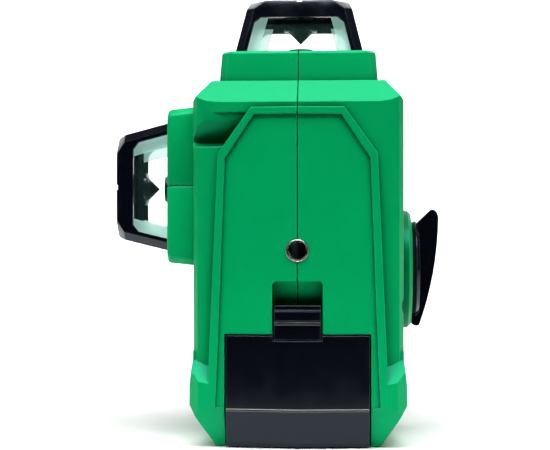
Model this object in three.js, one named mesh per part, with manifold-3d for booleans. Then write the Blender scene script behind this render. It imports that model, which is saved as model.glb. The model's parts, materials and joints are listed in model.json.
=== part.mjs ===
// Self-levelling laser level with three 360 degree line modules, on the top, the left side and the front.
// Millimetres, +Z up. The dimensions below are measured from the base plane, under the top module's axis,
// where the tripod screw enters. The finished group is moved so that its origin is the middle of its base,
// at MIDDLE.
// The rear face, with the battery pack and the rear tripod thread, looks along -Y; the lock knob is on +X.
import * as THREE from "three";
import { ConvexGeometry } from "three/addons/geometries/ConvexGeometry.js";
import { mergeVertices } from "three/addons/utils/BufferGeometryUtils.js";
import Module from "manifold-3d";

const wasm = await Module();
wasm.setup();

// ---- driving dimensions ----
const MIDDLE = { x: -7.05, y: 13.75 }; // middle of the whole part, seen from above
const GAP = 0.3; // between pieces that are fixed to each other
const BODY = { halfX: 33.3, rearY: -37, frontY: 37, topZ: 115.6 };
const BASE_HALF_X = 34.2; // the foot block is a little wider than the body above it
const KEEL = 2.6; // how far the rear panel's centre line stands behind its edges
const STRIP_Y = -30.2; // rear surface beside the raised panel, at the foot
const STRIP_LEAN = 0.038; // how much further back the strips stand for each millimetre of height
const SPINE_Y = -33.6; // rear surface of the core at its centre line
const WALL = 2.4;
const CHAMFER_Z = 9.2; // top of the front face's sloping foot
const COLLAR = { root: 25.5, lip: 24.6, height: 10, pocket: 21.5, throat: 18.6, step: 1.5 };
const AXIS_Z = 82.3; // height of the side and front modules' axes
const PIVOT_Z = 104; // both gimbal axes cross here
const FRAME = { base: 21.2, shoulder: 17.3, crown: 15.6, shoulderZ: 16.4, height: 19.3, skin: 1.6 };
const OPENING = { inset: 3.9, top: 13.4, corner: 1.8 };
const PANE = { gap: 0.3, thick: 1.2, inset: 3.5, foot: 0.4, top: 15.8 };
const CONE = { apexZ: 7, baseZ: 11.2, r: 4.1, holderR: 5.5, holderTop: 13.4 };
const BATTERY = { halfX: 22.4, top: 35, frontY: -7, clearance: 0.5 };
const LATCH = { halfX: 7.2, top: 44.4, rearY: -36.3, frontY: -33 };
const POCKET = { halfX: 7.9, top: 52, floorY: -29.6 };
const REAR_THREAD = { z: 61.5, outerR: 3.6, boreR: 2.6, mouthR: 3.15, length: 9 };
const BASE_THREAD = { outerR: 5, boreR: 2.6, mouthR: 3.2, length: 10 };
const KNOB = {
  z: 55.4, bossR: 19.6, bossX: 36.6, discR: 16.2, discX: 39.2, finX: 46, finTop: 20, finBottom: -18.8,
};
const SHAFT = { r: 3, innerX: 19.5, outerX: 38.6 };
const CAM = { r: 4, offset: 1.5, x0: 20, x1: 23 };
const RING = { inner: 11.4, outer: 14.6, halfZ: 3 };
const PIN_R = 1.2;
const BEARING = { inner: 1.28, outer: 2.4, width: 2.2 };
const SHELF = { z0: 35.8, z1: 37.8, frontY: 14 };
const KEYPAD = { z: 35, halfX: 18, halfZ: 11, proud: 0.6, buttonR: 4, pitch: 10.5 };
const PORT = { y: 12, z: 34, holeR: 4.2 };
const SCREW = { bossR: 3.8, holeR: 1.7, headR: 2.7, headX: 14, tipX: -8, boreR: 3.1 };
const SCREW_SPOTS = [[-25.6, 92], [28, 106], [28, 10], [-25.6, 44]]; // y, z

const MATERIALS = {
  housing: new THREE.MeshStandardMaterial({ color: 0x00a35a, roughness: 0.45, metalness: 0 }),
  black: new THREE.MeshStandardMaterial({ color: 0x0a0d12, roughness: 0.3, metalness: 0 }),
  rubber: new THREE.MeshStandardMaterial({ color: 0x151515, roughness: 0.8, metalness: 0 }),
  glass: new THREE.MeshStandardMaterial({ color: 0xd8f2ea, roughness: 0.05, metalness: 0 }),
  mirror: new THREE.MeshStandardMaterial({ color: 0x30383c, roughness: 0.15, metalness: 0.9 }),
  brass: new THREE.MeshStandardMaterial({ color: 0xb9a26a, roughness: 0.35, metalness: 1 }),
  steel: new THREE.MeshStandardMaterial({ color: 0xa8acb0, roughness: 0.35, metalness: 1 }),
  zinc: new THREE.MeshStandardMaterial({ color: 0x7d8084, roughness: 0.5, metalness: 0.8 }),
  copper: new THREE.MeshStandardMaterial({ color: 0xb56a3c, roughness: 0.4, metalness: 1 }),
  board: new THREE.MeshStandardMaterial({ color: 0x14532d, roughness: 0.6, metalness: 0 }),
  panel: new THREE.MeshStandardMaterial({ color: 0x1a1d21, roughness: 0.5, metalness: 0 }),
};

// ---- solids ----
function solid(geometry) {
  const bare = geometry.index ? geometry.toNonIndexed() : geometry.clone();
  for (const name of Object.keys(bare.attributes)) {
    if (name !== "position") bare.deleteAttribute(name);
  }
  const merged = mergeVertices(bare, 1e-4);
  return new wasm.Manifold(new wasm.Mesh({
    numProp: 3,
    vertProperties: new Float32Array(merged.attributes.position.array),
    triVerts: new Uint32Array(merged.index.array),
  }));
}

const union = (...pieces) => pieces.reduce((sum, piece) => sum.add(piece));
const cut = (piece, ...tools) => tools.reduce((rest, tool) => rest.subtract(tool), piece);

function box(x0, x1, y0, y1, z0, z1) {
  const geometry = new THREE.BoxGeometry(x1 - x0, y1 - y0, z1 - z0);
  return solid(geometry.translate((x0 + x1) / 2, (y0 + y1) / 2, (z0 + z1) / 2));
}

// A cylinder, or a frustum, whose axis runs along "x", "y" or "z" from a to b, centred on the other two
// coordinates.
function rod(axis, a, b, [u, v], r, rEnd = r, segments = 24) {
  const geometry = new THREE.CylinderGeometry(rEnd, r, b - a, segments).translate(0, (a + b) / 2, 0);
  if (axis === "x") geometry.rotateZ(-Math.PI / 2).translate(0, u, v);
  if (axis === "y") geometry.translate(u, 0, v);
  if (axis === "z") geometry.rotateX(Math.PI / 2).translate(u, v, 0);
  return solid(geometry);
}

// An outline in the XY, XZ or YZ plane, extruded along the third axis from a to b.
function prism(plane, points, a, b) {
  const shape = new THREE.Shape(points.map(([u, v]) => new THREE.Vector2(u, v)));
  const geometry = new THREE.ExtrudeGeometry(shape, { depth: b - a, bevelEnabled: false }).translate(0, 0, a);
  if (plane === "XZ") geometry.rotateX(Math.PI / 2).scale(1, -1, 1);
  if (plane === "YZ") geometry.rotateX(Math.PI / 2).rotateZ(Math.PI / 2);
  return plane === "XZ" ? mirroredSolid(geometry) : solid(geometry);
}

// Scaling by -1 reverses every triangle's winding, so it is put back.
function mirroredSolid(geometry) {
  const flat = geometry.index ? geometry.toNonIndexed() : geometry;
  const p = flat.attributes.position.array;
  for (let i = 0; i < p.length; i += 9) {
    for (let k = 0; k < 3; k++) [p[i + 3 + k], p[i + 6 + k]] = [p[i + 6 + k], p[i + 3 + k]];
  }
  return solid(flat);
}

const mirrored = (points) => [...points, ...points.slice().reverse().map(([u, v]) => [-u, v])];
const hull = (points) => solid(new ConvexGeometry(points.map(([x, y, z]) => new THREE.Vector3(x, y, z))));

// The corners of a square of the given half-width with its corners cut off, at height z.
function octagon(half, corner, z) {
  const points = [];
  for (const [sx, sy] of [[1, 1], [-1, 1], [-1, -1], [1, -1]]) {
    points.push([sx * half, sy * (half - corner), z], [sx * (half - corner), sy * half, z]);
  }
  return points;
}

function piece(name, material, body) {
  const data = body.getMesh();
  const geometry = new THREE.BufferGeometry();
  geometry.setAttribute("position", new THREE.BufferAttribute(data.vertProperties, data.numProp));
  geometry.setIndex(new THREE.BufferAttribute(data.triVerts, 1));
  geometry.computeVertexNormals();
  const mesh = new THREE.Mesh(geometry, MATERIALS[material]);
  mesh.name = name;
  return mesh;
}

// ---- frames of the three modules: local +Z points out of the body, 0 is the collar pocket's floor ----
const seat = COLLAR.height - COLLAR.step;
const sideSeat = seat - 1; // the side collar stands out a little less
const MODULES = [
  { name: "top", place: [0, 0, BODY.topZ + seat], turn: [0, 0, 0],
    sides: ["right", "front", "left", "rear"] },
  { name: "side", place: [-BODY.halfX - sideSeat, 0, AXIS_Z], turn: [0, -90, 0],
    sides: ["upper", "front", "lower", "rear"] },
  { name: "front", place: [0, BODY.frontY + seat, AXIS_Z], turn: [-90, 0, 0],
    sides: ["right", "lower", "left", "upper"] },
];

function moduleGroup({ place, turn }) {
  const group = new THREE.Group();
  group.position.set(...place);
  group.rotation.set(...turn.map(THREE.MathUtils.degToRad));
  return group;
}

function placed(body, module) {
  const group = moduleGroup(module);
  group.updateMatrix();
  return body.transform([...group.matrix.elements]);
}

// ---- housing ----
const PANEL_OUTLINE = mirrored([[28.1, 4], [28.1, 20], [25, 92], [14.6, 106.4]]); // the raised rear panel

function collarSolid(low) {
  const { root, lip, step } = COLLAR;
  return union(
    hull([...octagon(root, 2.2, low), ...octagon(lip + 0.1, 2.2, step - 0.8)]),
    hull([...octagon(lip + 0.1, 2.2, step - 0.8), ...octagon(lip - 0.6, 2.4, step)]),
  );
}

function collarOpening(depth) {
  return union(
    hull([...octagon(COLLAR.throat, 1, -depth), ...octagon(COLLAR.throat, 1, 1)]),
    hull([...octagon(COLLAR.pocket, 2, 0), ...octagon(COLLAR.pocket, 2, 4)]),
  );
}

function outerBody() {
  const { halfX, rearY, frontY, topZ } = BODY;
  const rearView = mirrored([
    [26, 0], [31.3, 8], [BASE_HALF_X, 13], [BASE_HALF_X, 19], [halfX, 27], [halfX, 109], [27.6, topZ],
  ]);
  const sideView = [
    [rearY + 8.6, 0], [frontY - 7, 0], [frontY, CHAMFER_Z], [frontY, 108], [frontY - 6.5, topZ],
    [-27.6, topZ], [SPINE_Y - 0.2, 108.4], [rearY, 107.4], [rearY, 18.3],
  ];
  const corner = 3.6;
  const plan = (z) => {
    const strip = STRIP_Y - (z - 24) * STRIP_LEAN;
    return [[0, SPINE_Y], ...mirrored([
      [29.4, strip], [31.9, strip + 1], [halfX, strip + corner],
      [halfX, frontY - corner], [32.2, frontY - 1.1], [halfX - corner, frontY],
    ])].map(([x, y]) => [x, y, z]);
  };
  const footPlan = mirrored([
    [27.4, rearY + KEEL], [BASE_HALF_X - 3, rearY + KEEL + 0.5], [BASE_HALF_X, rearY + 6],
    [BASE_HALF_X, frontY - corner], [BASE_HALF_X - corner, frontY],
  ]);
  const keelPlan = [
    [0, rearY], [27.8, rearY + KEEL], [27.8, -20], [-27.8, -20], [-27.8, rearY + KEEL],
  ];
  const footSide = [[-38, -1], [38, -1], [38, 30], [-29, 30], [-29.2, 27], [-34.4, 19.8], [-38, 19.2]];
  const blank = prism("XZ", rearView, -60, 60).intersect(prism("YZ", sideView, -60, 60));
  const core = hull([...plan(-1), ...plan(130)]);
  const foot = prism("XY", [[0, rearY], ...footPlan], -1, 30).intersect(prism("YZ", footSide, -60, 60));
  const raised = prism("XY", keelPlan, -1, 130).intersect(prism("XZ", PANEL_OUTLINE, -60, 0));
  return union(core, foot, raised).intersect(blank);
}

function panelRecess() {
  const outline = mirrored([[25.8, 12.6], [25.2, 26], [22.8, 90.4], [13.6, 104.2]]);
  const depth = 0.7;
  const keel = [
    [0, BODY.rearY + depth], [40, BODY.rearY + depth + KEEL * 40 / 27.8], [40, -60], [-40, -60],
    [-40, BODY.rearY + depth + KEEL * 40 / 27.8],
  ];
  return prism("XZ", outline, -60, 0).intersect(prism("XY", keel, -1, 130));
}

// The rounded groove across the rear left corner, between the shoulder block and the strip below it.
function shoulderGroove() {
  const [topZ, bottomZ, deep, steps] = [105, 95.2, 5.4, 6];
  const points = [];
  for (let i = 0; i <= steps; i++) {
    const t = i / steps;
    points.push([SPINE_Y + deep * t * t, topZ + (bottomZ + 1.4 - topZ) * t]);
  }
  points.push(
    [SPINE_Y + deep - 0.6, bottomZ + 0.4], [STRIP_Y, bottomZ - 1], [-45, bottomZ - 1], [-45, topZ],
  );
  return prism("YZ", points, -40, -12).subtract(prism("XZ", PANEL_OUTLINE, -60, 0));
}

function cavity() {
  const { halfX, frontY, topZ } = BODY;
  const room = prism("XZ", mirrored([
    [25, WALL], [halfX - WALL, 14], [halfX - WALL, 107.6], [26.4, topZ - WALL],
  ]), -60, 60).intersect(prism("YZ", [
    [-28, WALL], [frontY - 9, WALL], [frontY - WALL, 11], [frontY - WALL, 106.6], [frontY - 8, topZ - WALL],
    [-26, topZ - WALL], [-29.8, 108], [-29.8, 4],
  ], -60, 60)).intersect(prism("XY", [
    [-12, -29.8], [12, -29.8], [40, -26.6], [40, 60], [-40, 60], [-40, -26.6],
  ], -1, 130));
  const bay = box(-BATTERY.halfX - 2.6, BATTERY.halfX + 2.6, -60, BATTERY.frontY + 2.6, -1, SHELF.z1);
  const shelf = box(-13, 13, BATTERY.frontY, SHELF.frontY, SHELF.z0, SHELF.z1);
  const post = rod("z", 0, 11, [0, 0], BASE_THREAD.outerR + 1.9);
  const rearPost = rod("y", -35, -23.5, [0, REAR_THREAD.z], REAR_THREAD.outerR + 2);
  const { halfX: pocketX, floorY, top } = POCKET;
  const pocketBack = box(-pocketX - 1.8, pocketX + 1.8, -60, floorY + 1.9, 30, top + 2);
  const grooveBack = box(-40, -12, -60, SPINE_Y + 7.6, 92, 106);
  const bosses = SCREW_SPOTS.map((spot) => rod("x", -40, 40, spot, SCREW.bossR, SCREW.bossR, 12));
  return cut(room, bay, shelf, post, rearPost, pocketBack, grooveBack, ...bosses);
}

function openings() {
  const { halfX, top, frontY, clearance } = BATTERY;
  const bay = box(-halfX - clearance, halfX + clearance, -60, frontY + 0.4, -1, top + clearance);
  const pocketSide = [
    [-60, top], [POCKET.floorY, top], [POCKET.floorY, 45],
    [-33.4, POCKET.top - 1], [-34.4, POCKET.top], [-60, POCKET.top],
  ];
  const pocket = prism("YZ", pocketSide, -POCKET.halfX, POCKET.halfX)
    .intersect(prism("XZ", mirrored([[7.9, 20], [7.9, 51.1], [7, 52]]), -60, 0));
  const rearHole = rod("y", -60, -20, [0, REAR_THREAD.z], REAR_THREAD.outerR + 0.1);
  const baseHole = rod("z", -1, 20, [0, 0], BASE_THREAD.outerR + 0.1);
  const shaftHole = rod("x", 20, 60, [0, KNOB.z], SHAFT.r + 0.4);
  const sliderHole = rod("z", 30, 40, [0, 0], 3.3);
  const sideHole = box(-60, -BODY.halfX + WALL + 1, -21, 21, AXIS_Z - 21, AXIS_Z + 21);
  const buttons = [-1, 0, 1].map((i) => rod("y", 20, 60, [i * KEYPAD.pitch, KEYPAD.z], KEYPAD.buttonR + 0.4));
  const keypad = box(-KEYPAD.halfX - 0.2, KEYPAD.halfX + 0.2, BODY.frontY - 0.6, 60,
    KEYPAD.z - KEYPAD.halfZ - 0.2, KEYPAD.z + KEYPAD.halfZ + 0.2);
  const port = rod("x", -60, -25, [PORT.y, PORT.z], PORT.holeR);
  const screws = SCREW_SPOTS.flatMap((spot) => [
    rod("x", SCREW.headX - 2.4, 60, spot, SCREW.boreR, SCREW.boreR, 12),
    rod("x", SCREW.tipX - 1, 40, spot, SCREW.holeR, SCREW.holeR, 12),
  ]);
  return [
    bay, pocket, rearHole, baseHole, shaftHole, sliderHole, sideHole, ...buttons, keypad, port, ...screws,
  ];
}

function housingPieces() {
  const [top, side, front] = MODULES;
  const boss = union(
    rod("x", BODY.halfX - 2, KNOB.bossX - 1, [0, KNOB.z], KNOB.bossR, KNOB.bossR, 48),
    rod("x", KNOB.bossX - 1, KNOB.bossX, [0, KNOB.z], KNOB.bossR, KNOB.bossR - 1, 48),
  );
  const shell = cut(
    union(outerBody(), placed(collarSolid(-seat - 1), top), placed(collarSolid(-seat - 1), front), boss),
    panelRecess(), shoulderGroove(), cavity(),
    placed(collarOpening(16), top), placed(collarOpening(16), front), ...openings(),
  );
  const seam = 0.15;
  const left = shell.intersect(box(-80, -seam, -80, 80, -5, 160));
  const right = shell.intersect(box(seam, 80, -80, 80, -5, 160));

  const spigot = hull([...octagon(20.7, 2, -sideSeat - 2.6), ...octagon(20.7, 2, -sideSeat + 1)]);
  const ring = cut(union(collarSolid(-sideSeat + GAP), spigot), collarOpening(16));
  const collar = moduleGroup(side);
  collar.add(
    piece("side_collar_upper", "housing", ring.intersect(box(seam, 40, -40, 40, -30, 30))),
    piece("side_collar_lower", "housing", ring.intersect(box(-40, -seam, -40, 40, -30, 30))),
  );
  return [piece("shell_left", "housing", left), piece("shell_right", "housing", right), collar];
}

// ---- laser windows ----
const frameHalf = (z) => FRAME.base + (FRAME.shoulder - FRAME.base) * z / FRAME.shoulderZ;

function windowFrame() {
  const { shoulderZ, height, crown, skin } = FRAME;
  const outer = union(
    hull([...octagon(frameHalf(0), 2.6, 0), ...octagon(frameHalf(shoulderZ), 2.6, shoulderZ)]),
    hull([...octagon(frameHalf(shoulderZ), 2.6, shoulderZ), ...octagon(crown + 0.8, 5.2, height - 0.5),
      ...octagon(crown, 5, height)]),
  );
  const roofZ = height - 2.6;
  const inner = hull([
    ...octagon(frameHalf(-1) - skin, 1, -1), ...octagon(frameHalf(roofZ) - skin, 1, roofZ),
  ]);
  const half = (z) => frameHalf(z) - OPENING.inset;
  const outline = mirrored([
    [half(1.6), 1.6], [half(OPENING.top - OPENING.corner), OPENING.top - OPENING.corner],
    [half(OPENING.top) - OPENING.corner, OPENING.top],
  ]);
  const sights = union(
    box(-0.8, 0.8, -30, 30, height - 0.6, height + 1),
    box(-30, 30, -0.8, 0.8, height - 0.6, height + 1),
  );
  return cut(outer, inner, prism("XZ", outline, -40, 40), prism("YZ", outline, -40, 40), sights);
}

// One pane, on the module's local +X side, leaning inwards with the frame.
function pane() {
  const { gap, thick, inset, foot, top } = PANE;
  const face = (z) => frameHalf(z) - FRAME.skin - gap;
  const points = [];
  for (const z of [foot, top]) {
    const half = frameHalf(z) - inset;
    for (const y of [-half, half]) points.push([face(z), y, z], [face(z) - thick, y, z]);
  }
  return hull(points);
}

function windowPieces() {
  return MODULES.map((module) => {
    const group = moduleGroup(module);
    group.add(piece(`${module.name}_window_frame`, "black", windowFrame()));
    module.sides.forEach((side, i) => {
      const glass = piece(`${module.name}_pane_${side}`, "glass", pane());
      glass.rotation.z = i * Math.PI / 2;
      group.add(glass);
    });
    return group;
  });
}

// ---- optics, carried by the pendulum ----
function laserPieces() {
  return MODULES.map((module) => {
    const reach = -19.2; // the barrel's foot, on the pendulum's seat
    const start = module.name === "top" ? -14.9 : reach - 12;
    const barrel = cut(
      union(rod("z", start, 2, [0, 0], 5.5), rod("z", 1.9, 5, [0, 0], 4.2)),
      rod("z", 3.4, 6, [0, 0], 1.6),
    );
    const tube = cut(rod("z", 2 + GAP, CONE.baseZ - 0.1, [0, 0], 4.9), rod("z", 0, 14, [0, 0], 4.35));
    const cone = union(
      rod("z", CONE.apexZ, CONE.baseZ + 0.01, [0, 0], 0.05, CONE.r),
      rod("z", CONE.baseZ, CONE.holderTop, [0, 0], CONE.holderR),
    );
    const group = moduleGroup(module);
    group.add(
      piece(`${module.name}_laser_barrel`, "brass", barrel),
      piece(`${module.name}_glass_tube`, "glass", tube),
      piece(`${module.name}_cone_mirror`, "mirror", cone),
    );
    return group;
  });
}

// ---- gimbal and pendulum ----
const axle = (axis, a, b, r = PIN_R) => rod(axis, a, b, [0, PIVOT_Z], r, r, 16);

function gimbalPieces() {
  const { inner, outer, halfZ } = RING;
  const bracket = cut(
    union(box(-20.6, 20.6, -19.4, 5, PIVOT_Z - 4, PIVOT_Z + 4), box(-8, 8, -29.4, -19, PIVOT_Z - 4, PIVOT_Z)),
    box(-16.8, 16.8, -16, 20, PIVOT_Z - 9, PIVOT_Z + 9),
    axle("x", -30, 30, 1.45),
  );
  const bore = BEARING.outer + 0.1;
  const ring = cut(
    hull([...octagon(outer, 3, PIVOT_Z - halfZ), ...octagon(outer, 3, PIVOT_Z + halfZ)]),
    hull([...octagon(inner, 2, PIVOT_Z - 9), ...octagon(inner, 2, PIVOT_Z + 9)]),
    axle("x", -30, 30, bore), axle("y", -30, 30, bore),
  );
  const pieces = [piece("gimbal_bracket", "zinc", bracket), piece("gimbal_ring", "zinc", ring)];
  const bearingAt = (outer + inner) / 2 - BEARING.width / 2;
  const pivots = [["right", 1, "x"], ["left", -1, "x"], ["front", 1, "y"], ["rear", -1, "y"]];
  for (const [side, sign, axis] of pivots) {
    const span = (a, b) => (sign > 0 ? [a, b] : [-b, -a]);
    const bearing = cut(axle(axis, ...span(bearingAt, bearingAt + BEARING.width), BEARING.outer),
      axle(axis, -30, 30, BEARING.inner));
    const pin = axis === "x" ? axle("x", ...span(11.8, 20.4)) : axle("y", ...span(5.2, 14.2));
    pieces.push(piece(`${side}_bearing`, "steel", bearing), piece(`${side}_axle_pin`, "steel", pin));
  }
  return pieces;
}

function pendulumPieces() {
  const carrier = cut(
    union(
      box(-8, 8, -8, 8, AXIS_Z - 9, PIVOT_Z - 5), box(-7, 7, -7, 7, PIVOT_Z - 6, PIVOT_Z + 4),
      rod("z", 58.4, AXIS_Z - 8, [0, 0], 3.2),
    ),
    axle("y", -30, -5, 1.45), axle("y", 5, 30, 1.45),
  );
  const weight = union(rod("z", 47, 58, [0, 0], 11, 11, 36), rod("z", 41, 47.1, [0, 0], 1.6, 1.6, 20));
  const disc = cut(rod("z", 45.4, 46.7, [0, 0], 12.4, 12.4, 36), rod("z", 40, 50, [0, 0], 1.9, 1.9, 20));
  return [
    piece("pendulum_carrier", "zinc", carrier),
    piece("pendulum_weight", "brass", weight),
    piece("damping_disc", "copper", disc),
  ];
}

function dampingMagnet() {
  const ring = cut(
    rod("z", SHELF.z1 + 0.1, 42.2, [0, 0], 12.4, 12.4, 32), rod("z", 30, 50, [0, 0], 8.6, 8.6, 32),
  );
  return piece("damping_magnet", "steel", ring);
}

// ---- lock ----
function knobSolid() {
  const { z, discR, discX, bossX, finX, finTop, finBottom } = KNOB;
  const inner = bossX + GAP;
  const disc = union(
    rod("x", inner, discX - 1, [0, z], discR - 0.6, discR, 48),
    rod("x", discX - 1, discX, [0, z], discR, discR - 1, 48),
  );
  const crest = new THREE.Shape();
  crest.moveTo(inner, finBottom + 0.6);
  crest.lineTo(inner, 13.6);
  crest.lineTo(finX - 2.6, finTop - 0.2);
  crest.quadraticCurveTo(finX - 0.4, finTop + 0.2, finX, finTop - 3);
  crest.quadraticCurveTo(finX - 0.4, -2, inner + 2.6, finBottom + 0.4);
  crest.quadraticCurveTo(inner + 1.6, finBottom - 0.6, inner, finBottom + 0.6);
  const points = crest.getPoints(8).slice(0, -1).map((p) => [p.x, p.y + z]);
  const fin = prism("XZ", points, -4.6, 4.6);
  const waist = union(...[-1, 1].map((sign) => prism("XY", [
    [inner + 2.4, sign * 4.7], [finX + 1, sign * 2.6], [finX + 1, sign * 8], [inner + 2.4, sign * 8],
  ], z - 40, z + 40)));
  const socket = rod("x", inner - 1, SHAFT.outerX + 0.4, [0, z], SHAFT.r + 0.2);
  return cut(union(disc, fin.subtract(waist)), socket);
}

function lockPieces() {
  const shaft = union(
    rod("x", SHAFT.innerX, SHAFT.outerX, [0, KNOB.z], SHAFT.r),
    rod("x", CAM.x0, CAM.x1, [0, KNOB.z - CAM.offset], CAM.r),
  );
  const armTop = KNOB.z - CAM.r - CAM.offset - 0.5;
  const slider = union(
    box(CAM.x0 - 0.2, CAM.x1 + 0.2, -3, 3, 31.5, armTop),
    box(-3, CAM.x1 + 0.2, -3, 3, 31.5, 34),
    rod("z", 31.6, 39, [0, 0], 2.9),
  );
  return [piece("lock_knob", "black", knobSolid()), piece("lock_shaft", "steel", shaft),
    piece("lock_slider", "black", slider)];
}

// ---- battery ----
function batteryPieces() {
  const { halfX, top, frontY } = BATTERY;
  const rear = BODY.rearY;
  const plan = [
    [0, rear - 0.3], [halfX, rear + KEEL * halfX / 27.8 - 0.3], [halfX, frontY], [-halfX, frontY],
    [-halfX, rear + KEEL * halfX / 27.8 - 0.3],
  ];
  const slope = (z, inset) => plan.map(([x, y]) => [x, y < frontY ? y + inset : y, z]);
  const pack = cut(
    union(prism("XY", slope(12, 0.4), 12, top), hull([...slope(12.1, 0), ...slope(0.2, 3.8)])),
    box(-LATCH.halfX - 0.5, LATCH.halfX + 0.5, -60, POCKET.floorY, 33.4, 60),
  );
  const tab = prism("YZ", [
    [LATCH.rearY, 33.8], [LATCH.frontY, 33.8], [LATCH.frontY, LATCH.top - 1], [LATCH.frontY - 0.8, LATCH.top],
    [LATCH.rearY + 1, LATCH.top], [LATCH.rearY + 0.8, 43], [LATCH.rearY - 0.4, 42.6],
    [LATCH.rearY - 0.4, 39.8], [LATCH.rearY, 39.4],
  ], -LATCH.halfX, LATCH.halfX);
  return [piece("battery_pack", "black", pack), piece("battery_latch", "black", tab)];
}

// ---- controls, electronics and fasteners ----
function smallPieces() {
  const { outerR, boreR, mouthR, length, z } = REAR_THREAD;
  const mouthY = BODY.rearY + 0.5;
  const rearInsert = cut(
    rod("y", mouthY, mouthY + length, [0, z], outerR),
    rod("y", mouthY - 1, mouthY + length + 1, [0, z], boreR),
    rod("y", mouthY - 0.01, mouthY + 0.7, [0, z], mouthR, boreR),
  );
  const base = BASE_THREAD;
  const baseInsert = cut(
    rod("z", 0.2, 0.2 + base.length, [0, 0], base.outerR),
    rod("z", -1, 20, [0, 0], base.boreR),
    rod("z", 0.19, 0.9, [0, 0], base.mouthR, base.boreR),
  );
  const bottom = KEYPAD.z - KEYPAD.halfZ;
  const top = KEYPAD.z + KEYPAD.halfZ;
  const overlay = cut(
    box(-KEYPAD.halfX, KEYPAD.halfX, BODY.frontY - 0.4, BODY.frontY + KEYPAD.proud, bottom, top),
    ...[-1, 0, 1].map((i) => rod("y", 20, 60, [i * KEYPAD.pitch, KEYPAD.z], KEYPAD.buttonR + 0.4)),
  );
  const buttons = ["horizontal", "vertical", "pulse"].map((name, i) => {
    const at = [(i - 1) * KEYPAD.pitch, KEYPAD.z];
    const cap = union(
      rod("y", 32.6, 38.3, at, KEYPAD.buttonR),
      rod("y", 38.3, 38.9, at, KEYPAD.buttonR, KEYPAD.buttonR - 0.6),
    );
    return piece(`${name}_button`, "rubber", cap);
  });
  const board = piece("main_board", "board", box(-20, 20, 29.6, 31.2, 22, 50));
  const jack = piece("charging_jack", "panel", cut(
    box(-30.6, -22, PORT.y - 4.6, PORT.y + 4.6, PORT.z - 3.8, PORT.z + 3.8),
    rod("x", -31, -24, [PORT.y, PORT.z], 2.9),
  ));
  const flapX = -BODY.halfX - 0.2;
  const flap = union(
    box(flapX - 1.4, flapX, PORT.y - 6.6, PORT.y + 6.6, PORT.z - 6, PORT.z + 5.6),
    rod("x", flapX - 0.5, flapX + 1.4, [PORT.y, PORT.z], 2.4),
  );
  const screws = SCREW_SPOTS.map((spot, i) => piece(`shell_screw_${i + 1}`, "steel", cut(
    union(
      rod("x", SCREW.tipX, SCREW.headX, spot, SCREW.holeR - 0.2, SCREW.holeR - 0.2, 12),
      rod("x", SCREW.headX - 2.1, SCREW.headX, spot, SCREW.headR, SCREW.headR, 12),
    ),
    box(SCREW.headX - 1, SCREW.headX + 1, spot[0] - 0.35, spot[0] + 0.35, spot[1] - 1.7, spot[1] + 1.7),
    box(SCREW.headX - 1, SCREW.headX + 1, spot[0] - 1.7, spot[0] + 1.7, spot[1] - 0.35, spot[1] + 0.35),
  )));
  return [
    piece("rear_thread_insert", "brass", rearInsert), piece("base_thread_insert", "brass", baseInsert),
    piece("keypad_overlay", "panel", overlay), ...buttons, board, jack,
    piece("charging_port_cover", "rubber", flap), ...screws,
  ];
}

const pieces = new THREE.Group();
pieces.position.set(-MIDDLE.x, -MIDDLE.y, 0);
pieces.add(
  ...housingPieces(), ...windowPieces(), ...laserPieces(), ...gimbalPieces(), ...pendulumPieces(),
  dampingMagnet(), ...lockPieces(), ...batteryPieces(), ...smallPieces(),
);
const level = new THREE.Group();
level.name = "laser_level";
level.add(pieces);

export default level;
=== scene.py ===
import json
import math

import bmesh
import bpy
from mathutils import Matrix, Vector


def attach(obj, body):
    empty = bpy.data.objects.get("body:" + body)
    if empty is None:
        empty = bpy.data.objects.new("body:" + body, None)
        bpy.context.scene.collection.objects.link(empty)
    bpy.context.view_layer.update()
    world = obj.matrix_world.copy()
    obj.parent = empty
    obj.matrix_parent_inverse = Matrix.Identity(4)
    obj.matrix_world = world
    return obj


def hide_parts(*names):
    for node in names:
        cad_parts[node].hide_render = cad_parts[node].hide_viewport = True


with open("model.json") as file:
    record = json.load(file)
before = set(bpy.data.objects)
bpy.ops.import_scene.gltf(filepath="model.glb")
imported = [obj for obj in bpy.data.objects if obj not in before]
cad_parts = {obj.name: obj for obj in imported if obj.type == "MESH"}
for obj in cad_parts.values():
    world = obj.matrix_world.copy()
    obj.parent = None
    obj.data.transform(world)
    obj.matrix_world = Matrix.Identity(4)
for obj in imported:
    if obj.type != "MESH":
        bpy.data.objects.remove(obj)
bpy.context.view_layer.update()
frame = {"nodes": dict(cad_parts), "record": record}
NODES = frame["nodes"]

MM = 0.001
AXIS = Vector((0.00705, -0.01375, 0))  # the top head's axis, where it meets the base plane

# ---- driving dimensions, in millimetres from AXIS ----
HEAD_AXIS_Z = 82.3  # the side and front heads' axes
TOP_FLOOR_Z, SIDE_FLOOR_X, FRONT_FLOOR_Y = 124.1, -40.8, 45.5  # the floors of the three collars' pockets
FRAME_HALF, FRAME_LEAN = 21.2, 0.238  # half-width of a window frame at its foot, and its loss per millimetre
CONE_R, CONE_APEX = 4.1, 7.0
HOLDER_R, HOLDER_TOP = 5.5, 13.4
TUBE_R, TUBE_WALL = 4.9, 0.55
BARREL_R, MOUTH_R, BORE_R = 5.5, 4.2, 1.6
BARREL_START = {"top": -14.9, "side": -31.2, "front": -31.2}
REAR_THREAD_Z, REAR_MOUTH_Y = 61.5, -36.5
THREAD_PITCH = 1.27  # twenty threads to the inch
REAR_Y, KEEL = -37.3, 2.09  # the battery's rear edge at its centre line, and how far its sides draw in
BATTERY_HALF_X, LEDGE_Z = 22.35, 12.0
LATCH_HALF_X, LATCH_Y, LIP_Z = 7.1, -36.3, 39.0
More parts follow.
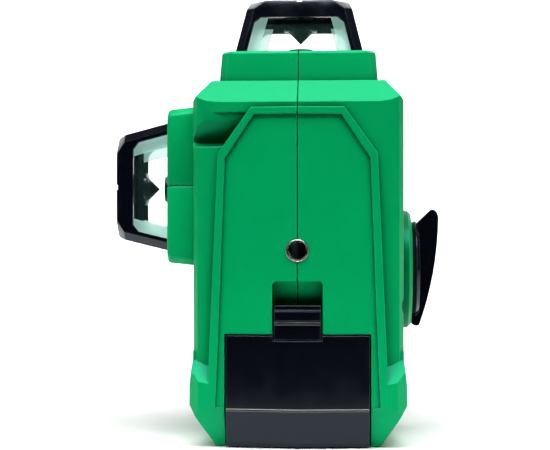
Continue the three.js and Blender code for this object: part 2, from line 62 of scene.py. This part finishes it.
KEYPAD_Y, KEYPAD_Z, BUTTON_PITCH, BUTTON_R = 37.55, 35.0, 10.5, 4.0
BUTTON_FOOT_Y, LAMP_Z = 32.6, 42.6


def at(x, y, z):
    """Metres in the row frame of a point given in millimetres from the foot of the top head's axis."""
    return AXIS + Vector((x, y, z)) * MM


# The heads' own frames: +Z out of the body, 0 on the floor of the collar's pocket.
TO_LEFT = Matrix.Rotation(math.radians(-90), 4, "Y")
TO_FRONT = Matrix.Rotation(math.radians(-90), 4, "X")
HEADS = {
    "top": Matrix.Translation(at(0, 0, TOP_FLOOR_Z)),
    "side": Matrix.Translation(at(SIDE_FLOOR_X, 0, HEAD_AXIS_Z)) @ TO_LEFT,
    "front": Matrix.Translation(at(0, FRONT_FLOOR_Y, HEAD_AXIS_Z)) @ TO_FRONT,
}


# ---- materials ----
class Nodes:
    """A material's node tree, built around its Principled shader."""

    def __init__(self, name, color, roughness, metallic=0.0):
        self.material = bpy.data.materials.new(name)
        self.material.use_nodes = True
        self.tree = self.material.node_tree
        self.shader = self.tree.nodes["Principled BSDF"]
        self.color = (*color, 1)
        self.set("Base Color", self.color)
        self.set("Roughness", roughness)
        self.set("Metallic", metallic)
        self.material.diffuse_color = self.color

    def set(self, name, value):
        self.shader.inputs[name].default_value = value

    def add(self, kind, inputs=None, **settings):
        node = self.tree.nodes.new(kind)
        for key, value in settings.items():
            setattr(node, key, value)
        for key, value in (inputs or {}).items():
            if isinstance(value, bpy.types.NodeSocket):
                self.tree.links.new(value, node.inputs[key])
            else:
                node.inputs[key].default_value = value
        return node

    def link(self, socket, name):
        self.tree.links.new(socket, self.shader.inputs[name])

    def position(self, scale=(1, 1, 1)):
        """Object coordinates in metres, stretched for streaks along one axis."""
        coordinates = self.add("ShaderNodeTexCoord").outputs["Object"]
        return self.add("ShaderNodeMapping", {"Vector": coordinates, "Scale": scale}).outputs["Vector"]

    def noise(self, scale, detail=3.0, stretch=(1, 1, 1), roughness=0.5):
        return self.add("ShaderNodeTexNoise", {
            "Vector": self.position(stretch), "Scale": scale, "Detail": detail, "Roughness": roughness,
        }).outputs["Fac"]

    def range(self, value, low, high, start=0.0, end=1.0):
        return self.add("ShaderNodeMapRange", {
            "Value": value, "From Min": start, "From Max": end, "To Min": low, "To Max": high,
        }).outputs["Result"]

    def mix(self, factor, a, b):
        node = self.add("ShaderNodeMix", {"Factor": factor}, data_type="RGBA")
        for socket, value in ((node.inputs[6], a), (node.inputs[7], b)):
            if isinstance(value, bpy.types.NodeSocket):
                self.tree.links.new(value, socket)
            else:
                socket.default_value = value
        return node.outputs[2]

    def soft_edges(self, radius):
        """The normal rounded over the piece's edges, and how far it turns there."""
        bevel = self.add("ShaderNodeBevel", {"Radius": radius}, samples=6).outputs["Normal"]
        normal = self.add("ShaderNodeNewGeometry").outputs["Normal"]
        dot = self.add("ShaderNodeVectorMath", {0: bevel, 1: normal}, operation="DOT_PRODUCT")
        return bevel, self.range(dot.outputs["Value"], 1.0, 0.0, 0.82, 0.995)

    def calc(self, operation, a, b, clamp=False):
        node = self.add("ShaderNodeMath", {0: a, 1: b}, operation=operation, use_clamp=clamp)
        return node.outputs["Value"]

    def bump(self, height, distance, strength, normal):
        return self.add("ShaderNodeBump", {
            "Height": height, "Distance": distance, "Strength": strength, "Normal": normal,
        }).outputs["Normal"]


def tone(color, factor):
    return (*(min(1.0, c * factor) for c in color[:3]), 1)


def plastic(name, color, roughness, edge=0.00045, grain=0.00002, grain_scale=2600, edge_highlight=None, specular=0.4,
            sheen=(1, 1, 1), painted_recess_shade=0.85):
    """Moulded plastic: fine grain, faint mottling, painted shade in its recesses, and soft edges with a
    patchy painted highlight.
    """
    n = Nodes(name, color, roughness)
    normal, turned = n.soft_edges(edge)
    base_tone = n.mix(n.noise(38, 4), tone(color, 0.9), tone(color, 1.08))
    # Painted shade: the base colour darkens in the piece's own recesses, where shade falls.
    recess_shade_ao = n.add("ShaderNodeAmbientOcclusion", {"Distance": RECESS}, samples=8, only_local=True)
    base_tone = n.mix(n.range(recess_shade_ao.outputs["AO"], 1.0, 0.0, 0.5, 0.94), base_tone, tone(color, painted_recess_shade))
    # Painted highlight: a bright colour on the rounded edges, broken into patches by noise.
    if edge_highlight:
        highlight_patches = n.range(n.noise(420, 5), 0.45, 1.0, 0.45, 0.7)
        soft = n.range(n.calc("MULTIPLY", turned, highlight_patches), 0.0, 0.45)
        base_tone = n.mix(soft, base_tone, (*edge_highlight, 1))
    n.link(base_tone, "Base Color")
    n.link(n.range(n.noise(160, 6), roughness - 0.06, roughness + 0.08, 0.3, 0.7), "Roughness")
    n.link(n.bump(n.noise(grain_scale, 2), grain, 0.6, normal), "Normal")
    n.set("Specular IOR Level", specular)
    n.set("Specular Tint", (*sheen, 1))
    return n.material


def metal(name, color, roughness, stretch=(1, 1, 1), scale=900, groove=0.000012, edge=0.00015):
    """Machined or cast metal: tool marks or pores, patchy dulling and bright soft edges."""
    n = Nodes(name, color, roughness, 1.0)
    normal, turned = n.soft_edges(edge)
    dull = n.mix(n.noise(90, 5), tone(color, 0.72), tone(color, 1.05))
    n.link(n.mix(turned, dull, tone(color, 1.35)), "Base Color")
    marks = n.noise(scale, 3, stretch)
    n.link(n.range(marks, roughness - 0.1, roughness + 0.12, 0.25, 0.75), "Roughness")
    n.link(n.bump(marks, groove, 0.7, normal), "Normal")
    return n.material


def clear_glass(name, color, low, high, painted_glow=0.0):
    """Thin clear glass: mostly see-through when faced, more solid at a glance, with a faint film of dust and,
    where given, a painted glow.
    """
    n = Nodes(name, color, 0.03)
    facing = n.add("ShaderNodeLayerWeight", {"Blend": 0.42}).outputs["Facing"]
    dust = n.range(n.noise(240, 6), 0.0, 0.012, 0.5, 0.75)
    n.link(n.calc("ADD", n.range(facing, low, high), dust), "Alpha")
    n.link(n.range(n.noise(500, 4), 0.01, 0.07, 0.4, 0.8), "Roughness")
    n.set("Specular IOR Level", 0.8)
    n.set("Emission Color", n.color)
    n.set("Emission Strength", painted_glow)
    n.material.surface_render_method = "BLENDED"
    return n.material


# How far the painted shade in a plastic's recesses reaches.
RECESS = 0.014  # metres; how wide a recess still counts as one
GREEN = (0.0, 0.36, 0.105)
NAVY = (0.0012, 0.0018, 0.0045)
MATERIALS = {
    # The housing: the strongest painted shade in its recesses, and a bright green painted highlight on its
    # edges.
    "housing": plastic("green_abs", GREEN, 0.38, edge_highlight=(0.08, 0.85, 0.5), specular=0.42, sheen=(0.06, 1, 0.75),
                       painted_recess_shade=0.3),
    # The black plastic: a pale blue-grey painted highlight on its edges.
    "black": plastic("navy_black_plastic", NAVY, 0.13, edge=0.00036, grain=0.000004, edge_highlight=(0.16, 0.19, 0.25),
                     specular=0.4, sheen=(0.7, 0.85, 1)),
    "polished": plastic("polished_black_plastic", NAVY, 0.16, edge=0.0002, grain=0.000002, specular=1.6),
    "rubber": plastic("black_rubber", (0.012, 0.012, 0.013), 0.72, edge=0.0003, grain=0.00003,
                      grain_scale=3400),
    "glass": clear_glass("window_glass", (0.2, 0.5, 0.42), 0.004, 0.3),
    # Painted light: the panes' edge bands glow, though they are no lamp.
    "glass_edge": clear_glass("window_edge_glass", (0.62, 0.92, 0.84), 0.5, 0.85, painted_glow=0.3),
    "tube": clear_glass("tube_glass", (0.3, 0.45, 0.45), 0.004, 0.3),
    "mirror": metal("cone_chrome", (0.06, 0.068, 0.075), 0.12, scale=2200, groove=0.000003, edge=0.0001),
    "brass": metal("turned_brass", (0.62, 0.53, 0.33), 0.3, stretch=(1, 1, 14), scale=500),
    "nickel": metal("nickel_plate", (0.6, 0.59, 0.55), 0.22, scale=1400, groove=0.000006, edge=0.0002),
    "anodised": metal("black_anodised", (0.02, 0.021, 0.024), 0.38, stretch=(1, 1, 14), scale=500),
    "steel": metal("ground_steel", (0.55, 0.56, 0.58), 0.32, stretch=(1, 9, 1)),
    "zinc": metal("die_cast_zinc", (0.3, 0.31, 0.33), 0.5, scale=1500, groove=0.00003),
    "copper": metal("turned_copper", (0.72, 0.36, 0.2), 0.34, stretch=(1, 1, 12)),
    "board": plastic("solder_mask", (0.01, 0.13, 0.035), 0.35, edge=0.0001, grain=0.00001, grain_scale=900),
    "panel": plastic("printed_film", (0.012, 0.014, 0.018), 0.42, edge=0.00025, grain=0.00001,
                     grain_scale=3000),
    "print": plastic("grey_print", (0.5, 0.52, 0.52), 0.55, edge=0.00005, grain=0.000004),
    "lamp": plastic("lamp_lens", (0.06, 0.5, 0.16), 0.2, edge=0.0001, grain=0.000002),
}
CAD_SLOTS = {row["node"]: row["material_slot"] for row in frame["record"]["subparts"]}


# ---- finishing the CAD nodes ----
def smooth_group(degrees):
    """A node group that shades a mesh smooth except across edges sharper than the angle."""
    group = bpy.data.node_groups.new(f"smooth_{degrees}", "GeometryNodeTree")
    group.interface.new_socket("Geometry", in_out="INPUT", socket_type="NodeSocketGeometry")
    group.interface.new_socket("Geometry", in_out="OUTPUT", socket_type="NodeSocketGeometry")
    add = group.nodes.new
    start, end = add("NodeGroupInput"), add("NodeGroupOutput")
    faces, edges = add("GeometryNodeSetShadeSmooth"), add("GeometryNodeSetShadeSmooth")
    faces.domain, edges.domain = "FACE", "EDGE"
    angle, compare = add("GeometryNodeInputMeshEdgeAngle"), add("FunctionNodeCompare")
    compare.data_type, compare.operation = "FLOAT", "GREATER_THAN"
    compare.inputs[1].default_value = math.radians(degrees)
    edges.inputs["Shade Smooth"].default_value = False
    link = group.links.new
    link(start.outputs[0], faces.inputs["Geometry"])
    link(faces.outputs[0], edges.inputs["Geometry"])
    link(angle.outputs["Unsigned Angle"], compare.inputs[0])
    link(compare.outputs[0], edges.inputs["Selection"])
    link(edges.outputs[0], end.inputs[0])
    return group


SMOOTH = smooth_group(24)


def finish_edges(obj, width):
    """Welds the facets' shared corners, rounds the sharp edges and shades the curved faces smooth."""
    obj.modifiers.new("weld", "WELD").merge_threshold = 2e-6
    if width:
        flat = obj.modifiers.new("flatten", "DECIMATE")
        flat.decimate_type, flat.angle_limit = "DISSOLVE", math.radians(0.5)
        bevel = obj.modifiers.new("round", "BEVEL")
        bevel.width, bevel.segments = width * MM, 2
        bevel.limit_method, bevel.angle_limit = "ANGLE", math.radians(28)
    obj.modifiers.new("smooth", "NODES").node_group = SMOOTH


def paint(obj, key):
    obj.data.materials.clear()
    obj.data.materials.append(MATERIALS[key])


def rounding(name):
    """The radius, in millimetres, that a node's edges are really rounded to; 0 leaves it to the material."""
    for part, width in (("side_collar", 0.4), ("pane", 0.15), ("main_board", 0.1), ("charging_jack", 0.2)):
        if part in name:
            return width
    return 0


for name, node in NODES.items():
    paint(node, "tube" if name.endswith("glass_tube") else CAD_SLOTS[name])
    finish_edges(node, rounding(name))


# ---- new pieces ----
def piece(name, mesh, key, body, stands_for=()):
    """Adds a piece that moves with a body, in place of the CAD nodes that it stands for."""
    obj = bpy.data.objects.new(name, mesh)
    bpy.context.scene.collection.objects.link(obj)
    paint(obj, key)
    obj.modifiers.new("smooth", "NODES").node_group = SMOOTH
    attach(obj, body)
    if stands_for:
        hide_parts(*stands_for)


def mesh_of(name, bm, place=Matrix.Identity(4)):
    """The finished mesh of a bmesh drawn in millimetres in the frame given by place."""
    bmesh.ops.recalc_face_normals(bm, faces=bm.faces)
    bm.transform(place @ Matrix.Diagonal((MM, MM, MM, 1)))
    mesh = bpy.data.meshes.new(name)
    bm.to_mesh(mesh)
    bm.free()
    return mesh


def lathe(bm, profile, steps=72):
    """Adds a solid of revolution about Z to bm.

    The profile is a closed loop of (radius, z), or runs from the axis back to the axis.
    """
    rings = []
    for r, z in profile:
        if r < 1e-6:
            rings.append([bm.verts.new((0, 0, z))])
        else:
            turns = (2 * math.pi * i / steps for i in range(steps))
            rings.append([bm.verts.new((r * math.cos(t), r * math.sin(t), z)) for t in turns])
    pairs = list(zip(rings, rings[1:]))
    if len(rings[0]) > 1:
        pairs.append((rings[-1], rings[0]))
    for low, high in pairs:
        for i in range(steps):
            j = (i + 1) % steps
            corners = [low[i % len(low)], low[j % len(low)], high[j % len(high)], high[i % len(high)]]
            unique = list(dict.fromkeys(corners))
            if len(unique) > 2:
                bm.faces.new(unique)
    return bm


def loft(bm, rings):
    """Joins rings of vertices into a closed body in bm, and caps its ends."""
    count = len(rings[0])
    for low, high in zip(rings, rings[1:]):
        for k in range(count):
            bm.faces.new([low[k], low[(k + 1) % count], high[(k + 1) % count], high[k]])
    bm.faces.new(rings[0])
    bm.faces.new(rings[-1])


def fillet(points, radius, steps=4):
    """The open polyline with its inner corners rounded."""
    out = [points[0]]
    for before, here, after in zip(points, points[1:], points[2:]):
        a, b, c = Vector(before), Vector(here), Vector(after)
        reach = min(radius, (a - b).length * 0.45, (c - b).length * 0.45)
        p, q = b + (a - b).normalized() * reach, b + (c - b).normalized() * reach
        for i in range(steps + 1):
            t = i / steps
            out.append(tuple(p * (1 - t) ** 2 + b * 2 * t * (1 - t) + q * t * t))
    out.append(points[-1])
    return out


def turned_y(x, y, z):
    """A frame whose +Z runs along the row's +Y from a point in millimetres."""
    return Matrix.Translation(at(x, y, z)) @ TO_FRONT


def optics(head, place):
    """The cone mirror, its holder, the glass tube and the laser barrel of a head, turned on its axis."""
    seat = CONE_APEX + CONE_R  # where the cone reaches its full width
    rim = HOLDER_R - 0.35
    groove = BARREL_R - 0.35

    def turned(name, profile, key, stands_for=()):
        mesh = mesh_of(name, lathe(bmesh.new(), profile, 96), place)
        piece(f"{head}_{name}", mesh, key, "pendulum", stands_for)

    turned("cone", fillet([
        (0, CONE_APEX), (0.06, CONE_APEX), (CONE_R, seat), (CONE_R, seat + 0.4), (0, seat + 0.4),
    ], 0.08), "mirror", [f"{head}_cone_mirror"])
    turned("cone_holder", [*fillet([
        (CONE_R + 0.05, seat + 0.1), (HOLDER_R, seat + 0.1), (HOLDER_R, HOLDER_TOP - 0.9),
        (rim, HOLDER_TOP - 0.9), (rim, HOLDER_TOP), (0, HOLDER_TOP), (0, seat + 0.45),
    ], 0.15), (CONE_R + 0.05, seat + 0.45)], "black")
    turned("tube", [
        (TUBE_R - TUBE_WALL, 2.3), (TUBE_R, 2.3), (TUBE_R, seat), (TUBE_R - TUBE_WALL, seat),
    ], "tube", [f"{head}_glass_tube"])
    turned("barrel", fillet([
        (0, BARREL_START[head]), (BARREL_R, BARREL_START[head]),
        (BARREL_R, -1.2), (groove, -1.2), (groove, -0.8), (BARREL_R, -0.8),
        (BARREL_R, 2), (MOUTH_R, 2), (MOUTH_R, 5), (BORE_R + 0.8, 5), (BORE_R, 4.4), (BORE_R, 3.4), (0, 3.4),
    ], 0.18), "anodised", [f"{head}_laser_barrel"])


def edge_bands():
    """The clear ground borders down the sloping sides of a head's four panes."""
    bm = bmesh.new()

    def spot(turn, side, inset, depth, z):
        """A point in from the frame's corner and behind its face, at height z."""
        half = FRAME_HALF - FRAME_LEAN * z
        return Matrix.Rotation(turn, 4, "Z") @ Vector((half - depth, side * (half - inset), z))

    for turn in (0, math.pi / 2, math.pi, 1.5 * math.pi):
        for side in (-1, 1):
            rows = []
            for z, bow in ((0.6, 0), (8, 0.2), (14.6, 0)):
                section = (
                    (3.6, 3.3), (7.4 - bow, 3.3), (7.7 - bow, 3.45), (7.4 - bow, 3.6), (3.9, 3.6),
                )
                rows.append([bm.verts.new(spot(turn, side, inset, depth, z)) for inset, depth in section])
            loft(bm, rows)
    return bm


for head, place in HEADS.items():
    optics(head, place)
for head, place in HEADS.items():
    piece(f"{head}_edge_bands", mesh_of("edge_bands", edge_bands(), place), "glass_edge", "housing")


def threaded_insert(length, outer, bore, mouth):
    """A round insert with a countersunk mouth at 0 and a helical ridge in its bore."""
    bm = bmesh.new()
    body = fillet([(mouth, 0), (outer - 0.15, 0), (outer, 0.2), (outer, length), (bore, length)], 0.1)
    lathe(bm, [*body, (bore, 0.9)])
    steps = 48
    last = int((length - 1.2) / THREAD_PITCH) * steps
    ridge = [(0.0, -0.5), (-0.42, -0.08), (-0.42, 0.08), (0.0, 0.5)]  # inward reach in mm, place in pitches
    before = None
    for i in range(last + 1):
        t = 2 * math.pi * i / steps
        z = 1.1 + THREAD_PITCH * (0.5 + i / steps)
        fade = min(1.0, i / 12, (last - i) / 12)
        row = []
        for reach, place in ridge:
            r = bore + 0.05 + reach * fade
            level = min(z + place * THREAD_PITCH, length - 0.02)
            row.append(bm.verts.new((r * math.cos(t), r * math.sin(t), level)))
        if before:
            for k in range(4):
                bm.faces.new([before[k], before[(k + 1) % 4], row[(k + 1) % 4], row[k]])
        before = row
    return bm


for name, insert, place in (
    ("rear", threaded_insert(9, 3.6, 2.98, 3.2), turned_y(0, REAR_MOUTH_Y, REAR_THREAD_Z)),
    ("base", threaded_insert(10, 5, 2.6, 3.2), Matrix.Translation(at(0, 0, 0.2))),
):
    mesh = mesh_of(f"{name}_insert", insert, place)
    piece(f"{name}_insert", mesh, "nickel", "housing", [f"{name}_thread_insert"])

# Push buttons with a rolled rim and a dished top.
for i, mark in enumerate(("horizontal", "vertical", "pulse")):
    cap = fillet([(0, 0), (BUTTON_R, 0), (BUTTON_R, 6.0), (3.3, 6.3), (2.6, 6.0), (0, 5.8)], 0.5)
    place = turned_y((i - 1) * BUTTON_PITCH, BUTTON_FOOT_Y, KEYPAD_Z)
    mesh = mesh_of("cap", lathe(bmesh.new(), cap), place)
    piece(f"{mark}_cap", mesh, "rubber", f"{mark}_button", [f"{mark}_button"])


def plate(bm, x0, x1, z0, z1):
    """Adds a thin raised mark with chamfered rims, on the keypad, to bm."""
    thick, chamfer = 0.13, 0.04
    rings = []
    for lift, inset in ((0, 0), (thick - chamfer, 0), (thick, chamfer)):
        left, right, low, high = x0 + inset, x1 - inset, z0 + inset, z1 - inset
        corners = ((left, low), (right, low), (right, high), (left, high))
        rings.append([bm.verts.new((x, KEYPAD_Y + lift, z)) for x, z in corners])
    loft(bm, rings)


def bead(spine, section):
    """A moulded lip: the (y, z) section, in millimetres, carried through the (x, y) points of the spine."""
    bm = bmesh.new()
    loft(bm, [[bm.verts.new((x, y + dy, z)) for dy, z in section] for x, y in spine])
    return bm


ledge = bead(
    [(-BATTERY_HALF_X, REAR_Y + KEEL), (0, REAR_Y), (BATTERY_HALF_X, REAR_Y + KEEL)],
    [(dy, LEDGE_Z + dz) for dy, dz in (
        (-0.2, -0.5), (-0.2, -0.05), (-0.05, 0.25), (0.25, 0.42), (0.6, 0.42), (0.6, -0.5))],
)
piece("battery_ledge", mesh_of("battery_ledge", ledge, Matrix.Translation(AXIS)), "polished", "battery_pack")
lip = bead(
    [(-LATCH_HALF_X, LATCH_Y), (LATCH_HALF_X, LATCH_Y)],
    [(dy, LIP_Z + dz) for dy, dz in (
        (-0.35, -0.5), (-0.35, -0.05), (-0.2, 0.25), (0.1, 0.4), (0.5, 0.4), (0.5, -0.7), (0, -0.8))],
)
piece("latch_lip", mesh_of("latch_lip", lip, Matrix.Translation(AXIS)), "polished", "battery_latch")

# Printed marks under the buttons, a dash, an upright stroke and three dots, and a lamp over each button.
marks = bmesh.new()
plate(marks, -13, -8, 28.1, 28.7)
plate(marks, -0.3, 0.3, 26.2, 30)
for k in range(3):
    plate(marks, 8.3 + 1.6 * k, 9.3 + 1.6 * k, 28.1, 28.7)
piece("keypad_marks", mesh_of("keypad_marks", marks, Matrix.Translation(AXIS)), "print", "housing")
lamp = fillet([(0, 0), (0.75, 0), (0.75, 0.35), (0, 0.5)], 0.15)
lamps = bmesh.new()
for k in (-1, 0, 1):
    one = bmesh.new()
    lathe(one, lamp, 32)
    stand = Matrix.Translation((k * BUTTON_PITCH, KEYPAD_Y - 0.1, LAMP_Z))
    one.transform(stand @ TO_FRONT)
    part = bpy.data.meshes.new("lamp")
    one.to_mesh(part)
    one.free()
    lamps.from_mesh(part)
piece("keypad_lamps", mesh_of("keypad_lamps", lamps, Matrix.Translation(AXIS)), "lamp", "housing")


# ---- studio ----
def emitter(name, place, target, size, watts, spread=180):
    """Adds a soft rectangular light, aimed at a point."""
    light = bpy.data.lights.new(name, "AREA")
    light.shape, light.size, light.size_y = "RECTANGLE", size[0], size[1]
    light.energy, light.spread = watts, math.radians(spread)
    obj = bpy.data.objects.new(name, light)
    obj.location = place
    obj.rotation_euler = (Vector(target) - Vector(place)).to_track_quat("-Z", "Y").to_euler()
    bpy.context.scene.collection.objects.link(obj)


def sweep():
    """A pale floor that curves up behind into a plain wall."""
    bm = bmesh.new()
    bend_y, radius = 1.2, 0.8
    profile = [(-3.0, 0.0), (bend_y, 0.0)]
    for t in (math.radians(a) for a in range(5, 91, 5)):
        profile.append((bend_y + radius * math.sin(t), radius - radius * math.cos(t)))
    profile.append((bend_y + radius, 3.0))
    rows = [[bm.verts.new((x, y, z - 0.0003)) for x in (-4, 4)] for y, z in profile]
    for low, high in zip(rows, rows[1:]):
        bm.faces.new([low[0], low[1], high[1], high[0]])
    for face in bm.faces:
        face.smooth = True
    mesh = bpy.data.meshes.new("backdrop")
    bm.to_mesh(mesh)
    bm.free()
    obj = bpy.data.objects.new("backdrop", mesh)
    bpy.context.scene.collection.objects.link(obj)
    paper = Nodes("backdrop_paper", (0.9, 0.9, 0.9), 0.85)
    pale = paper.mix(paper.noise(3, 2), (0.88, 0.88, 0.88, 1), (0.92, 0.92, 0.92, 1))
    reach = paper.add("ShaderNodeVectorMath", {0: paper.position()}, operation="LENGTH").outputs["Value"]
    seen = paper.add("ShaderNodeLightPath").outputs["Is Camera Ray"]
    # Painted shade: reflections find the floor near the rear face pale and the floor beyond it painted dark,
    # as under a black flag.
    depth = paper.add("ShaderNodeSeparateXYZ", {0: paper.position()}).outputs["Y"]
    painted_floor_shade = paper.calc("SUBTRACT", paper.range(depth, 0.0, 1.0, -0.1, -0.2), seen, clamp=True)
    paper.link(paper.mix(painted_floor_shade, pale, (0.03, 0.03, 0.03, 1)), "Base Color")
    paper.set("Emission Color", (1, 1, 1, 1))
    paper.link(paper.calc("MULTIPLY", paper.range(reach, 0.0, 0.9, 0.1, 0.5), seen), "Emission Strength")
    obj.data.materials.append(paper.material)


sweep()
emitter("key", (0.0, -0.24, 0.62), (0, -0.05, 0.05), (0.8, 0.28), 3.9, spread=120)
emitter("left_fill", (-0.9, -0.25, 0.3), (0, 0, 0.08), (0.3, 0.8), 0.7)
emitter("right_fill", (0.9, -0.25, 0.3), (0, 0, 0.08), (0.3, 0.8), 0.7)
emitter("back_wash", (0.0, 0.9, 1.3), (0, 1.9, 0.4), (2.6, 0.5), 36)

world = bpy.data.worlds.new("studio")
world.use_nodes = True
sky = world.node_tree
way = sky.nodes.new("ShaderNodeSeparateXYZ")
sky.links.new(sky.nodes.new("ShaderNodeTexCoord").outputs["Generated"], way.inputs[0])
dim = sky.nodes.new("ShaderNodeMapRange")  # reflections find the room dark behind the camera
dim.interpolation_type = "SMOOTHSTEP"
for key, value in (("From Min", -0.75), ("From Max", 0.1), ("To Min", 0.02), ("To Max", 0.12)):
    dim.inputs[key].default_value = value
sky.links.new(way.outputs["Y"], dim.inputs["Value"])
white = sky.nodes.new("ShaderNodeMath")  # but the camera itself sees a pale surround on every side
white.operation = "MAXIMUM"
sky.links.new(dim.outputs["Result"], white.inputs[0])
sky.links.new(sky.nodes.new("ShaderNodeLightPath").outputs["Is Camera Ray"], white.inputs[1])
sky.links.new(white.outputs["Value"], sky.nodes["Background"].inputs["Strength"])
sky.nodes["Background"].inputs["Color"].default_value = (1, 1, 1, 1)
bpy.context.scene.world = world
bpy.context.scene.view_settings.view_transform = "Standard"

camera = bpy.data.cameras.new("camera")
camera.lens, camera.sensor_width = 88.7, 36
camera.clip_start, camera.clip_end = 0.01, 20
viewpoint = bpy.data.objects.new("camera", camera)
viewpoint.location = AXIS + Vector((0.014, -0.457, 0.062))
aim = AXIS + Vector((-0.0069, -0.037, 0.0695))
viewpoint.rotation_euler = (aim - viewpoint.location).to_track_quat("-Z", "Y").to_euler()
bpy.context.scene.collection.objects.link(viewpoint)
bpy.context.scene.camera = viewpoint
